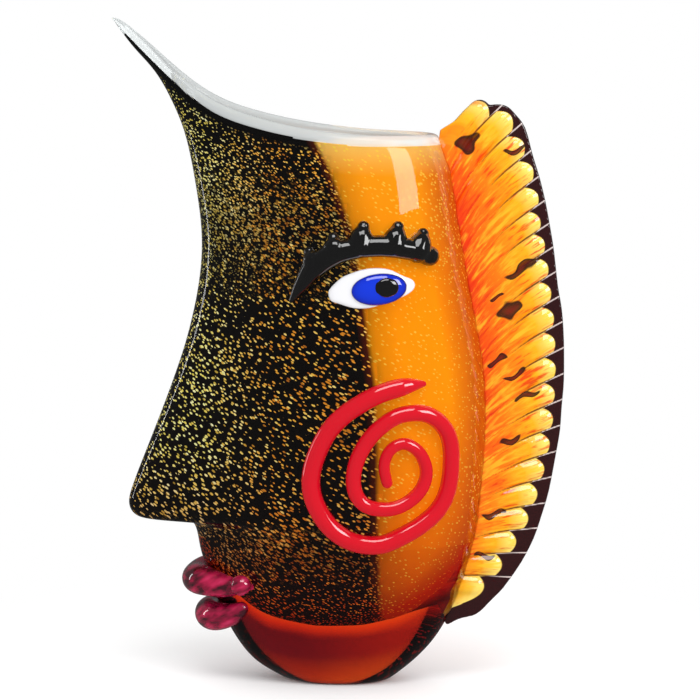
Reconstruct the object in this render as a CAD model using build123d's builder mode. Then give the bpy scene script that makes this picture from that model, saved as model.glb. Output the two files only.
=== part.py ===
# Face vase: a blown, flattened glass bubble in the shape of a face in profile, with hot glass applied to it.
# Millimetres. +Z is up and the origin is the middle of the ground foot. The face looks toward -X, its left
# side is toward -Y, and the vase is symmetric about the XZ plane.
import os
from math import cos, hypot, radians, sin

from build123d import *

os.makedirs("parts", exist_ok=True)

# Overall sizes. In the tables heights are shares of vase_height, places along X are shares of face_length and
# places along Y are shares of face_width.
vase_height = 450.0
face_length = 200.0
face_width = 130.0

# Walls
bubble_wall = 4.0
lip_height = 6.5

# Eye, a white pad with a blue drop let into it and a black drop let into that
eye_relief = 3.0
iris_relief = 2.0
pupil_relief = 1.2
inlay_depth = 1.8
iris_length = 34.0
iris_height = 20.0
pupil_length = 16.5
pupil_height = 12.5

# Eyebrow, cheek spiral and lips, all glass rods
brow_radius = 6.2
tooth_radius = 3.6
tooth_tip_radius = 2.3
spiral_size = 60.0
spiral_radius = 6.5
lip_radius = 10.5
rod_sides = 10

# Hair comb, a web with ribs pressed into both faces
web_thickness = 9.0
web_edge_cut = 1.9
rib_radius = 9.2
rib_count = 19
rib_margin = 7.0

# Shape of the body's sections, as shares of the run that is bent
front_bluntness_share = 0.85
cheek_lead_share = 0.35
cheek_swell_share = 0.25
head_round_share = 0.5523
face_step_shares = (0.0, 0.08, 0.19, 0.33, 0.50, 0.70, 0.90)
head_step_shares = (0.20, 0.48, 0.75, 1.0)
spout_thin_share = 0.3
narrow_flank_share = 0.138
least_flank_share = 0.35

# Outer body, from the tip of the spout down to the foot. Each row is one section across the body:
# front x, front height, back x, back height, half width, x of the widest point, flank x, flank half width
body_shares = [
    (-0.7675, 1.000, 0.290, 0.911, 0.346, 0.070, -0.680, 0.042),
    (-0.750, 0.989, 0.302, 0.880, 0.352, 0.070, -0.650, 0.048),
    (-0.693, 0.956, 0.318, 0.853, 0.362, 0.070, -0.590, 0.065),
    (-0.620, 0.920, 0.330, 0.833, 0.369, 0.065, -0.530, 0.096),
    (-0.565, 0.879, 0.345, 0.816, 0.383, 0.060, -0.470, 0.145),
    (-0.515, 0.824, 0.370, 0.793, 0.412, 0.060, -0.435, 0.164),
    (-0.480, 0.747, 0.395, 0.751, 0.446, 0.060, -0.407, 0.178),
    (-0.461, 0.673, 0.417, 0.689, 0.475, 0.058, -0.390, 0.185),
    (-0.472, 0.604, 0.443, 0.624, 0.491, 0.055, -0.398, 0.188),
    (-0.512, 0.524, 0.477, 0.544, 0.500, 0.048, -0.430, 0.187),
    (-0.570, 0.449, 0.502, 0.478, 0.500, 0.043, -0.485, 0.177),
    (-0.640, 0.369, 0.509, 0.416, 0.498, 0.037, -0.555, 0.156),
    (-0.700, 0.302, 0.506, 0.367, 0.494, 0.034, -0.620, 0.136),
    (-0.723, 0.267, 0.501, 0.331, 0.488, 0.030, -0.645, 0.123),
    (-0.698, 0.247, 0.496, 0.309, 0.483, 0.028, -0.630, 0.123),
    (-0.630, 0.242, 0.492, 0.287, 0.473, 0.024, -0.580, 0.142),
    (-0.515, 0.243, 0.484, 0.251, 0.454, 0.018, -0.477, 0.169),
    (-0.486, 0.229, 0.475, 0.229, 0.438, 0.014, -0.435, 0.182),
    (-0.472, 0.196, 0.456, 0.196, 0.409, 0.007, -0.405, 0.185),
    (-0.443, 0.156, 0.430, 0.156, 0.373, 0.005, -0.370, 0.185),
    (-0.407, 0.111, 0.390, 0.111, 0.327, 0.000, -0.335, 0.181),
    (-0.355, 0.064, 0.333, 0.067, 0.277, 0.000, -0.290, 0.162),
    (-0.285, 0.027, 0.260, 0.031, 0.231, 0.000, -0.233, 0.135),
    (-0.180, 0.000, 0.172, 0.000, 0.169, 0.000, -0.145, 0.096),
]

# The coloured bubble inside the clear casing. It stays clear of the nose tip and of the foot, where the
# casing is thick.
bubble_shares = [
    (-0.785, 1.013, 0.270, 0.907, 0.319, 0.070, -0.700, 0.025),
    (-0.728, 0.983, 0.284, 0.876, 0.327, 0.070, -0.645, 0.031),
    (-0.668, 0.950, 0.300, 0.849, 0.335, 0.070, -0.580, 0.046),
    (-0.603, 0.914, 0.312, 0.829, 0.342, 0.065, -0.515, 0.075),
    (-0.517, 0.846, 0.340, 0.802, 0.373, 0.060, -0.438, 0.129),
    (-0.466, 0.760, 0.372, 0.762, 0.415, 0.060, -0.398, 0.150),
    (-0.445, 0.678, 0.395, 0.693, 0.446, 0.060, -0.380, 0.158),
    (-0.470, 0.578, 0.435, 0.596, 0.465, 0.050, -0.395, 0.162),
    (-0.533, 0.469, 0.480, 0.493, 0.473, 0.045, -0.450, 0.154),
    (-0.620, 0.371, 0.491, 0.418, 0.473, 0.040, -0.550, 0.123),
    (-0.672, 0.296, 0.490, 0.356, 0.465, 0.033, -0.600, 0.104),
    (-0.665, 0.276, 0.480, 0.328, 0.462, 0.030, -0.595, 0.104),
    (-0.625, 0.269, 0.475, 0.307, 0.454, 0.028, -0.562, 0.119),
    (-0.515, 0.266, 0.463, 0.276, 0.438, 0.020, -0.470, 0.142),
    (-0.468, 0.252, 0.453, 0.253, 0.425, 0.018, -0.415, 0.154),
    (-0.448, 0.220, 0.432, 0.220, 0.396, 0.013, -0.385, 0.159),
    (-0.400, 0.182, 0.395, 0.187, 0.358, 0.005, -0.340, 0.158),
    (-0.315, 0.142, 0.315, 0.149, 0.292, 0.000, -0.263, 0.138),
    (-0.210, 0.113, 0.215, 0.120, 0.204, 0.000, -0.172, 0.100),
    (-0.070, 0.100, 0.080, 0.102, 0.069, 0.005, -0.055, 0.035),
]

# The water space lies a bubble_wall inside the bubble, and stops short of the spout, which is solid.
cavity_top_shares = [
    (-0.640, 0.991, 0.250, 0.902, 0.269, 0.070, -0.560, 0.038),
    (-0.600, 0.960, 0.265, 0.871, 0.281, 0.070, -0.520, 0.050),
    (-0.570, 0.929, 0.280, 0.842, 0.292, 0.070, -0.490, 0.065),
    (-0.532, 0.894, 0.291, 0.822, 0.304, 0.065, -0.455, 0.088),
    (-0.492, 0.843, 0.319, 0.798, 0.338, 0.060, -0.410, 0.104),
]

# The red-amber gather cups the bottom of the bubble.
amber_shares = [
    (-0.460, 0.222, 0.448, 0.222, 0.415, 0.013, -0.405, 0.169),
    (-0.422, 0.189, 0.415, 0.191, 0.385, 0.010, -0.362, 0.169),
    (-0.345, 0.147, 0.343, 0.153, 0.319, 0.005, -0.290, 0.150),
    (-0.250, 0.082, 0.270, 0.087, 0.254, 0.005, -0.205, 0.123),
    (-0.195, 0.038, 0.200, 0.039, 0.196, 0.000, -0.160, 0.096),
    (-0.110, 0.018, 0.110, 0.018, 0.108, 0.000, -0.087, 0.054),
]

# Mouth seen from the side: x and height
mouth_shares = [
    (-1.050, 1.1250), (-0.900, 1.0650), (-0.750, 1.0056), (-0.645, 0.9600),
    (-0.555, 0.9233), (-0.475, 0.8944), (-0.385, 0.8722), (-0.275, 0.8556),
    (-0.135, 0.8411), (0.025, 0.8311), (0.175, 0.8273), (0.450, 0.8260),
]

# Edge between the black front and the amber back: x and height, from the mouth down
leaf_edge_shares = [
    (-0.120, 0.900), (-0.090, 0.856), (0.005, 0.780), (0.087, 0.687), (0.123, 0.571),
    (0.155, 0.470), (0.163, 0.373), (0.163, 0.200), (0.150, 0.060),
]

# Left eye: x and height round the almond, the stretch of cheek it lies on, then the middles of its drops
eye_shares = [
    (0.004, 0.608), (0.056, 0.627), (0.150, 0.643), (0.220, 0.634), (0.285, 0.616),
    (0.268, 0.604), (0.210, 0.590), (0.140, 0.583), (0.070, 0.587), (0.017, 0.595),
]
eye_span_shares = (-0.03, 0.05, 0.13, 0.21, 0.31)
oval_steps = 24
eye_height_shares = (0.56, 0.67)
iris_centre_shares = (0.169, 0.611)
pupil_centre_shares = (0.190, 0.613)

# Left eyebrow: x, height and radius share along the arch, then x and height of each tooth's root and tip
brow_shares = [
    (-0.105, 0.588, 0.35), (-0.050, 0.622, 0.75), (0.010, 0.651, 1.0), (0.075, 0.667, 1.05),
    (0.165, 0.674, 1.0), (0.255, 0.669, 0.95), (0.325, 0.655, 0.85),
]
brow_teeth_shares = [
    (-0.040, 0.633, -0.066, 0.661), (0.030, 0.660, 0.022, 0.686), (0.110, 0.673, 0.122, 0.702),
    (0.205, 0.673, 0.229, 0.702), (0.285, 0.665, 0.307, 0.690),
]
brow_lift_share = 0.15
tooth_shoulder_share = 0.55
rod_end_share = 0.5

# Left cheek spiral: its middle, then the reach from there at every step of the turn and the radius share
spiral_centre_shares = (0.205, 0.342)
spiral_start_angle = 70.0
spiral_step_angle = 45.0
spiral_reach_shares = (1.042, 0.822, 0.817, 0.893, 0.875, 0.708, 0.642, 0.675, 0.680, 0.467, 0.397,
                       0.425, 0.450, 0.393, 0.377, 0.375, 0.308, 0.192, 0.150, 0.130, 0.128)
spiral_girth_shares = (0.45, 0.85, 1.0, 1.0, 1.0, 1.0, 1.0, 1.0, 1.0, 1.0, 0.95,
                       0.95, 0.95, 0.9, 0.9, 0.85, 0.8, 0.75, 0.7, 0.65, 0.6)
spiral_sink_share = 0.25
span_steps = 2

# Lips: turn about the chin, height share, radius share, and stand off the chin as a share of the radius
chin_axis_share = -0.20
upper_lip_shares = [
    (67, 0.155, 0.22, 0.3), (64, 0.155, 0.50, 0.4), (59, 0.155, 0.62, 0.5), (53, 0.153, 0.50, 0.3),
    (38, 0.152, 0.78, 0.2), (20, 0.154, 0.98, 0.45), (0, 0.150, 0.92, 0.6),
]
lower_lip_shares = [
    (52, 0.118, 0.45, 0.1), (38, 0.106, 0.75, 0.2), (20, 0.099, 0.95, 0.45), (0, 0.098, 1.0, 0.55),
]

# Comb: x and height down its free edge, then back up inside the body, and the place and slope of its ribs
comb_edge_shares = [
    (0.340, 0.830), (0.420, 0.857), (0.508, 0.870), (0.590, 0.859), (0.640, 0.820), (0.705, 0.700),
    (0.740, 0.596), (0.7615, 0.493), (0.750, 0.390), (0.692, 0.259), (0.600, 0.168), (0.480, 0.108),
    (0.370, 0.086),
]
comb_inside_shares = [(0.250, 0.140), (0.350, 0.400), (0.300, 0.650), (0.250, 0.780)]
web_edge_steps = 26
web_root_share = 0.36
rib_first_share = 0.13
rib_last_share = 0.95
rib_first_angle = 40.0
rib_last_angle = 4.0
rib_bow_angle = 14.0
rib_reach_share = 0.33
rib_root_share = 1.35
rib_end_share = 0.55
rib_spans = 3


def place(x_share, height_share, y_share=0.0):
    return Vector(x_share * face_length, y_share * face_width, height_share * vase_height)


def sections(rows):
    """Rows of shares as sections: front, back, half width, widest x, flank x and flank half width."""
    return [
        (place(row[0], row[1]), place(row[2], row[3]), row[4] * face_width, row[5] * face_length,
         row[6] * face_length, row[7] * face_width)
        for row in rows
    ]


def inset(rows, wall):
    """Moves every section inward by a wall, thinner where the spout is narrow."""
    moved = []
    for number, (front, back, half_width, widest_x, flank_x, flank_y) in enumerate(rows):
        above = rows[max(number - 1, 0)]
        below = rows[min(number + 1, len(rows) - 1)]
        front_run = (below[0] - above[0]).normalized()
        back_run = (below[1] - above[1]).normalized()
        drop = ((above[0] + above[1] - below[0] - below[1]) * 0.5).length
        side = drop / hypot(drop, above[2] - below[2])
        thickness = wall * min(1.0, spout_thin_share + flank_y / (narrow_flank_share * face_width))
        moved.append((
            front + Vector(-front_run.Z, 0, front_run.X) * thickness,
            back + Vector(back_run.Z, 0, -back_run.X) * wall,
            half_width - wall * side,
            widest_x,
            flank_x - front_run.Z * thickness * 0.5,
            max(flank_y - thickness * side, flank_y * least_flank_share),
        ))
    return moved


def bezier_point(controls, share):
    """De Casteljau's point on a Bezier curve."""
    points = list(controls)
    while len(points) > 1:
        points = [first + (second - first) * share for first, second in zip(points, points[1:])]
    return points[0]


def section_ring(row):
    """Corners of one section: the nose, down each cheek and round the back of the head."""
    front, back, half_width, widest_x, flank_x, flank_y = row
    along = (back - front).normalized()
    flank = Vector((flank_x - front.X) / along.X, flank_y)
    widest = Vector((widest_x - front.X) / along.X, half_width)
    end = Vector((back - front).length, 0)
    reach = Vector((end.X - widest.X) * head_round_share, 0)
    lead = flank + (widest - flank) * cheek_lead_share + Vector(0, flank_y * cheek_swell_share)
    face_run = [Vector(0, 0), Vector(0, flank_y * front_bluntness_share), flank, lead, widest - reach, widest]
    head_run = [widest, widest + reach, end + Vector(0, half_width * head_round_share), end]
    side = [bezier_point(face_run, share) for share in face_step_shares]
    side += [bezier_point(head_run, share) for share in head_step_shares]
    near = [front + along * point.X - Vector(0, point.Y) for point in side]
    far = [front + along * point.X + Vector(0, point.Y) for point in side]
    return near + far[-2:0:-1]


def skinned(rings):
    """A solid through rings of as many corners each, in flat facets, with a flat face at both ends."""
    facets = [Face(Wire.make_polygon(rings[0])), Face(Wire.make_polygon(rings[-1]))]
    for ring, next_ring in zip(rings, rings[1:]):
        for corner in range(len(ring)):
            beside = (corner + 1) % len(ring)
            facets.append(Face(Wire.make_polygon([ring[corner], ring[beside], next_ring[beside]])))
            facets.append(Face(Wire.make_polygon([ring[corner], next_ring[beside], next_ring[corner]])))
    return Solid(Shell(facets))


def blown(rows):
    return skinned([section_ring(row) for row in rows])


def rod(centres, radii, side_axis):
    """A many-sided rod whose rings stand square to the run of the centres."""
    rings = []
    for number, (centre, radius) in enumerate(zip(centres, radii)):
        before = centres[max(number - 1, 0)]
        after = centres[min(number + 1, len(centres) - 1)]
        along = (after - before).normalized()
        aside = (side_axis - along * side_axis.dot(along)).normalized()
        across = along.cross(aside)
        turns = [radians(360 * side / rod_sides) for side in range(rod_sides)]
        rings.append([centre + aside * radius * cos(turn) + across * radius * sin(turn) for turn in turns])
    return skinned(rings)


def on_skin(start, toward):
    """Where a line from outside first meets the body, and the body's outward direction there."""
    hits = body.find_intersection_points(Axis(start, toward))
    ahead = [hit for hit in hits if (hit[0] - start).dot(toward) > 0]
    point, normal = min(ahead, key=lambda hit: (hit[0] - start).dot(toward))
    if normal.dot(toward) > 0:
        normal = -normal
    return point, normal


def on_left_cheek(x, height):
    return on_skin(Vector(x, -face_width, height), Vector(0, 1, 0))


def smooth_run(points, steps):
    """Catmull-Rom run through points of any length, each span cut into equal steps."""
    run = []
    for number in range(len(points) - 1):
        before = points[max(number - 1, 0)]
        start, end = points[number], points[number + 1]
        after = points[min(number + 2, len(points) - 1)]
        for step in range(steps):
            share = step / steps
            start_weight = 1 - share * share * (3 - 2 * share)
            lead_in = share * (1 - share) * (1 - share) / 2
            lead_out = share * share * (1 - share) / 2
            run.append(tuple(
                s * start_weight + e * (1 - start_weight) + (e - b) * lead_in - (a - s) * lead_out
                for b, s, e, a in zip(before, start, end, after)
            ))
    return run + [tuple(points[-1])]


def above_mouth(drop):
    """Everything above the mouth line, lowered by a drop."""
    line = [(x * face_length, height * vase_height - drop) for x, height in mouth_shares]
    with BuildPart() as region:
        with BuildSketch(Plane.XZ) as side_view:
            with BuildLine():
                Spline(*line)
                ceiling = line[0][1] + vase_height
                Polyline(line[-1], (line[-1][0], ceiling), (line[0][0], ceiling), line[0])
            make_face()
        extrude(amount=face_width, both=True)
    return region.part


# Blown forms, one inside the next
body_rows = sections(body_shares)
bubble_rows = sections(bubble_shares)
body = blown(body_rows)
bubble = blown(bubble_rows)
cavity = blown(sections(cavity_top_shares) + inset(bubble_rows, bubble_wall)[len(cavity_top_shares):])
gather = blown(sections(amber_shares))
over_lip = above_mouth(0.0)
over_colour = above_mouth(lip_height)

# Clear casing over the coloured bubble and the red-amber gather
with BuildPart() as clear_casing:
    add(body)
    add(over_colour, mode=Mode.SUBTRACT)
    add(bubble, mode=Mode.SUBTRACT)
    add(gather, mode=Mode.SUBTRACT)
clear_casing.part.label = "clear_casing"

with BuildPart() as amber_base:
    add(gather)
    add(bubble, mode=Mode.SUBTRACT)
amber_base.part.label = "amber_base"

# Space in front of the edge between the black glass and the amber glass
edge_line = [(x * face_length, height * vase_height) for x, height in leaf_edge_shares]
with BuildPart() as front_space:
    with BuildSketch(Plane.XZ):
        with BuildLine():
            Spline(*edge_line)
            Polyline(edge_line[-1], (edge_line[-1][0], -lip_height), (-face_length, -lip_height),
                     (-face_length, vase_height + face_width), (edge_line[0][0], vase_height + face_width),
                     edge_line[0])
        make_face()
    extrude(amount=face_width, both=True)

# The coloured wall round the water space, black in front and amber behind
with BuildPart() as leaf_front:
    add(bubble)
    add(over_colour, mode=Mode.SUBTRACT)
    add(cavity, mode=Mode.SUBTRACT)
    add(front_space.part, mode=Mode.INTERSECT)
leaf_front.part.label = "leaf_front"

with BuildPart() as leaf_back:
    add(bubble)
    add(over_colour, mode=Mode.SUBTRACT)
    add(cavity, mode=Mode.SUBTRACT)
    add(front_space.part, mode=Mode.SUBTRACT)
leaf_back.part.label = "leaf_back"

# Clear trail round the mouth and out to the tip of the spout
with BuildPart() as lip_wrap:
    add(body)
    add(over_lip, mode=Mode.SUBTRACT)
    add(cavity, mode=Mode.SUBTRACT)
    add(over_colour, mode=Mode.INTERSECT)
lip_wrap.part.label = "lip_wrap"

# Left eye: a flat oval pad, and two drops let into it
def cheek_block(relief):
    """A block behind a surface that follows the cheek round the eye, a relief off it."""
    ends = []
    for height_share in eye_height_shares:
        height = height_share * vase_height
        run = []
        for x_share in eye_span_shares:
            point, outward = on_left_cheek(x_share * face_length, height)
            run.append((point.X + outward.X * relief, point.Y + outward.Y * relief))
        with BuildSketch(Plane.XY.offset(height)) as end:
            with BuildLine():
                Polyline(*run, (run[-1][0], 0), (run[0][0], 0), close=True)
            make_face()
        ends.append(end.sketch)
    with BuildPart() as block:
        loft(sections=ends, ruled=True)
    return block.part


def eye_drop(centre_shares, length, height, relief):
    """An oval drop let into what lies under it, its face a relief off the cheek."""
    turns = [radians(360 * step / oval_steps) for step in range(oval_steps)]
    middle = place(*centre_shares)
    oval = [(middle.X + cos(turn) * length / 2, middle.Z + sin(turn) * height / 2) for turn in turns]
    with BuildPart() as drop:
        with BuildSketch(Plane.XZ):
            with BuildLine():
                Polyline(*oval, close=True)
            make_face()
        extrude(amount=face_width)
        add(cheek_block(relief), mode=Mode.INTERSECT)
        add(cheek_block(eye_relief - inlay_depth), mode=Mode.SUBTRACT)
    return drop.part


iris_top = eye_relief + iris_relief
iris_drop = eye_drop(iris_centre_shares, iris_length, iris_height, iris_top)
pupil_drop = eye_drop(pupil_centre_shares, pupil_length, pupil_height, iris_top + pupil_relief)
with BuildPart() as left_pupil:
    add(pupil_drop)
    add(body, mode=Mode.SUBTRACT)

with BuildPart() as left_iris:
    add(iris_drop)
    add(body, mode=Mode.SUBTRACT)
    add(pupil_drop, mode=Mode.SUBTRACT)

eye_rim = [(x * face_length, height * vase_height) for x, height in eye_shares]
with BuildPart() as left_eye_white:
    with BuildSketch(Plane.XZ):
        with BuildLine():
            rim = Spline(*eye_rim, periodic=True, mode=Mode.PRIVATE)
            Polyline(*[rim @ (step / oval_steps) for step in range(oval_steps)], close=True)
        make_face()
    extrude(amount=face_width)
    add(cheek_block(eye_relief), mode=Mode.INTERSECT)
    add(body, mode=Mode.SUBTRACT)
    add(iris_drop, mode=Mode.SUBTRACT)
    add(pupil_drop, mode=Mode.SUBTRACT)

# Left eyebrow: a rod arched over the eye, with teeth pulled up out of it
brow_run = []
for x_share, height_share, radius_share in brow_shares:
    radius = brow_radius * radius_share
    point, outward = on_left_cheek(x_share * face_length, height_share * vase_height)
    brow_run.append((*(point + outward * radius * brow_lift_share), radius))
brow_run = smooth_run(brow_run, span_steps)
with BuildPart() as left_eyebrow:
    add(rod([Vector(*stop[:3]) for stop in brow_run], [stop[3] for stop in brow_run], Vector(0, 1, 0)))
    for root_x, root_height, tip_x, tip_height in brow_teeth_shares:
        root, outward = on_left_cheek(root_x * face_length, root_height * vase_height)
        root += outward * brow_radius * brow_lift_share
        tip, outward = on_left_cheek(tip_x * face_length, tip_height * vase_height)
        tip += outward * tooth_tip_radius * brow_lift_share
        shoulder = root + (tip - root) * tooth_shoulder_share
        end = tip + (tip - shoulder).normalized() * tooth_tip_radius * rod_end_share
        add(rod([root, shoulder, tip, end],
                [tooth_radius, tooth_tip_radius, tooth_tip_radius, tooth_tip_radius * rod_end_share],
                Vector(0, 1, 0)))
    add(body, mode=Mode.SUBTRACT)

# Left cheek spiral: one rod wound inward from its pulled-out tail, lying on the cheek
spiral_run = []
for turn, (reach_share, girth_share) in enumerate(zip(spiral_reach_shares, spiral_girth_shares)):
    angle = radians(spiral_start_angle + turn * spiral_step_angle)
    reach = spiral_size * reach_share
    spiral_run.append((spiral_centre_shares[0] * face_length + reach * cos(angle),
                       spiral_centre_shares[1] * vase_height + reach * sin(angle),
                       spiral_radius * girth_share))
spiral_run = smooth_run(spiral_run, span_steps)
spiral_stops = []
for x, height, radius in spiral_run:
    point, outward = on_left_cheek(x, height)
    spiral_stops.append(point + outward * radius * (1 - spiral_sink_share))
spiral_radii = [stop[2] for stop in spiral_run]
with BuildPart() as left_cheek_spiral:
    add(rod(spiral_stops, spiral_radii, Vector(0, 1, 0)))
    add(body, mode=Mode.SUBTRACT)

turn_steps = round(360 / spiral_step_angle) * span_steps // 2
gaps = [
    (spiral_stops[one] - spiral_stops[other]).length - spiral_radii[one] - spiral_radii[other]
    for one in range(len(spiral_stops))
    for other in range(one + turn_steps, len(spiral_stops))
]
print("least gap between turns of the cheek spiral: %.2f mm" % min(gaps))


# Lips: two rods wrapped round the chin, the upper one swelling into a knob at each corner
def chin_point(angle, height_share, stand_off):
    turned = Vector(-cos(radians(angle)), -sin(radians(angle)), 0)
    axis_point = place(chin_axis_share, height_share)
    point, outward = on_skin(axis_point + turned * face_length, -turned)
    return point + turned * stand_off


def lip_coil(rows):
    """The near half of a lip runs from its corner to the middle, and the far half mirrors it."""
    half = []
    for angle, height_share, radius_share, stand_share in rows:
        radius = lip_radius * radius_share
        half.append((*chin_point(angle, height_share, radius * stand_share), radius))
    whole = half + [(x, -y, z, radius) for x, y, z, radius in half[-2::-1]]
    return rod([Vector(*stop[:3]) for stop in whole], [stop[3] for stop in whole], Vector(0, 0, 1))


with BuildPart() as upper_lip:
    add(lip_coil(upper_lip_shares))
    add(body, mode=Mode.SUBTRACT)
upper_lip.part.label = "upper_lip"

with BuildPart() as lower_lip:
    add(lip_coil(lower_lip_shares))
    add(body, mode=Mode.SUBTRACT)
    add(upper_lip.part, mode=Mode.SUBTRACT)
lower_lip.part.label = "lower_lip"

# Hair comb: a web down the back of the head with ribs pressed into both its faces
with BuildLine(Plane.XZ) as comb_line:
    free_edge = Spline(*[(x * face_length, height * vase_height) for x, height in comb_edge_shares])
web_edge = [free_edge @ (step / web_edge_steps) for step in range(web_edge_steps + 1)]
web_edge = [(point.X, point.Z) for point in web_edge]
web_inside = [(x * face_length, height * vase_height) for x, height in comb_inside_shares]
with BuildPart() as hair_comb:
    with BuildSketch(Plane.XZ.offset(-web_thickness / 2)):
        with BuildLine():
            Polyline(*web_edge, *web_inside, close=True)
        make_face()
    extrude(amount=web_thickness)
    rims = hair_comb.faces().filter_by(Axis.Y).edges()
    chamfer([rim for rim in rims if rim.center().X > web_root_share * face_length], web_edge_cut)
    for number in range(rib_count):
        share = number / (rib_count - 1)
        edge_place = free_edge @ (rib_first_share + (rib_last_share - rib_first_share) * share)
        angle = rib_first_angle + (rib_last_angle - rib_first_angle) * share
        reach = rib_reach_share * face_length
        run = []
        for turn in range(rib_spans + 1):
            bow = radians(angle + rib_bow_angle * turn / rib_spans)
            run.append(edge_place - Vector(cos(bow), 0, sin(bow)) * (rib_margin + reach * turn / rib_spans))
        tip = run[0] + (run[0] - run[1]).normalized() * rib_radius * rod_end_share
        radii = [rib_radius * rib_end_share]
        radii += [rib_radius * (1 + (rib_root_share - 1) * turn / rib_spans) for turn in range(rib_spans + 1)]
        add(rod([tip] + run, radii, Vector(0, 1, 0)))
    add(body, mode=Mode.SUBTRACT)
hair_comb.part.label = "hair_comb"

# What lies on the left cheek is mirrored to the right one
cheek_pieces = {
    "eye_white": left_eye_white.part,
    "iris": left_iris.part,
    "pupil": left_pupil.part,
    "eyebrow": left_eyebrow.part,
    "cheek_spiral": left_cheek_spiral.part,
}
pieces = [clear_casing.part, amber_base.part, leaf_front.part, leaf_back.part, lip_wrap.part, hair_comb.part,
          upper_lip.part, lower_lip.part]
for name, left_piece in cheek_pieces.items():
    left_piece.label = "left_" + name
    with BuildPart() as twin:
        mirror(left_piece, about=Plane.XZ)
    twin.part.label = "right_" + name
    pieces += [left_piece, twin.part]

for piece in pieces:
    export_step(piece, "parts/" + piece.label + ".step")
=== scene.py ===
import math

import bpy
import numpy as np
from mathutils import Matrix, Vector
from mathutils.bvhtree import BVHTree


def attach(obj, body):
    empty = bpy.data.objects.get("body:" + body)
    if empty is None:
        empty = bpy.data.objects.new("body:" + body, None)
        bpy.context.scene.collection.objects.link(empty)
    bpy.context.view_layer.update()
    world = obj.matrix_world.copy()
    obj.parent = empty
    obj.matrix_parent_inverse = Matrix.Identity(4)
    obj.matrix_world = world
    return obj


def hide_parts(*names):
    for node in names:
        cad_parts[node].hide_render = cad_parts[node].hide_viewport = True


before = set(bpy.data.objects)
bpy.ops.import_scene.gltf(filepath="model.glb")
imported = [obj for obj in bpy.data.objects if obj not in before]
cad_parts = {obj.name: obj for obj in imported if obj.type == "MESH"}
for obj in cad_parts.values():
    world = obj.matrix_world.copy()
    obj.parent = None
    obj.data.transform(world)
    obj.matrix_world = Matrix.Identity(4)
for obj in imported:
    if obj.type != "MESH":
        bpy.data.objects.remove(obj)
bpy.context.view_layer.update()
mm = 0.001
weldDistance = 1e-6  # metres
circleHandle = 0.5523  # handle length with which a curve follows a circle


def deselectAll():
    if bpy.context.object and bpy.context.object.mode != "OBJECT":
        bpy.ops.object.mode_set(mode="OBJECT")
    bpy.ops.object.select_all(action="DESELECT")


def pick(piece):
    deselectAll()
    piece.select_set(True)
    bpy.context.view_layer.objects.active = piece


# a skin through closed rings of points in metres, with its two ends filled in or left open
def gridPiece(name, rings, filled=True):
    rings = np.asarray(rings, float)
    rows, columns = rings.shape[:2]
    deselectAll()
    bpy.ops.mesh.primitive_grid_add(x_subdivisions=columns, y_subdivisions=rows - 1, size=2)
    piece = bpy.context.object
    piece.name = name
    count = len(piece.data.vertices)
    flat = np.empty(count * 3)
    piece.data.vertices.foreach_get("co", flat)
    flat = flat.reshape(-1, 3)
    column = np.rint((flat[:, 0] + 1) / 2 * columns).astype(int) % columns
    row = np.rint((flat[:, 1] + 1) / 2 * (rows - 1)).astype(int)
    piece.data.vertices.foreach_set("co", rings[row, column].reshape(-1))
    bpy.ops.object.mode_set(mode="EDIT")
    bpy.ops.mesh.select_all(action="SELECT")
    bpy.ops.mesh.remove_doubles(threshold=weldDistance)
    if filled:
        bpy.ops.mesh.select_all(action="DESELECT")
        bpy.ops.mesh.select_mode(type="EDGE")
        bpy.ops.mesh.select_non_manifold(extend=False)
        bpy.ops.mesh.fill_holes(sides=0)
    bpy.ops.mesh.select_mode(type="VERT")
    bpy.ops.mesh.select_all(action="SELECT")
    bpy.ops.mesh.normals_make_consistent(inside=False)
    bpy.ops.object.mode_set(mode="OBJECT")
    bpy.ops.object.shade_smooth()
    return piece


# the places of all vertices, in mm
def pointsOf(piece):
    flat = np.empty(len(piece.data.vertices) * 3)
    piece.data.vertices.foreach_get("co", flat)
    return flat.reshape(-1, 3) / mm


# a number stored at every vertex, which the material reads back by name
def storeField(piece, name, values):
    field = piece.data.attributes.new(name, "FLOAT", "POINT")
    field.data.foreach_set("value", np.asarray(values, float))


def applyModifier(piece, kind, **settings):
    pick(piece)
    modifier = piece.modifiers.new(kind.lower(), kind)
    for key, value in settings.items():
        setattr(modifier, key, value)
    bpy.ops.object.modifier_apply(modifier=modifier.name)


def smoothed(piece, levels=1):
    if levels:
        applyModifier(piece, "SUBSURF", levels=levels, render_levels=levels)
    bpy.ops.object.shade_smooth()


# smooth value between the rows of a table
def rowAt(table, place):
    last = len(table) - 1
    place = min(max(place, 0.0), float(last))
    number = min(int(place), last - 1)
    share = place - number
    before, start = table[max(number - 1, 0)], table[number]
    end, after = table[number + 1], table[min(number + 2, last)]
    return start + 0.5 * share * (end - before + share * (
        2 * before - 5 * start + 4 * end - after + share * (3 * (start - end) + after - before)))


# a table with more rows, on a smooth curve through it
def densified(table, steps):
    table = np.array(table, float)
    return np.array([rowAt(table, step / steps) for step in range((len(table) - 1) * steps + 1)])


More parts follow.
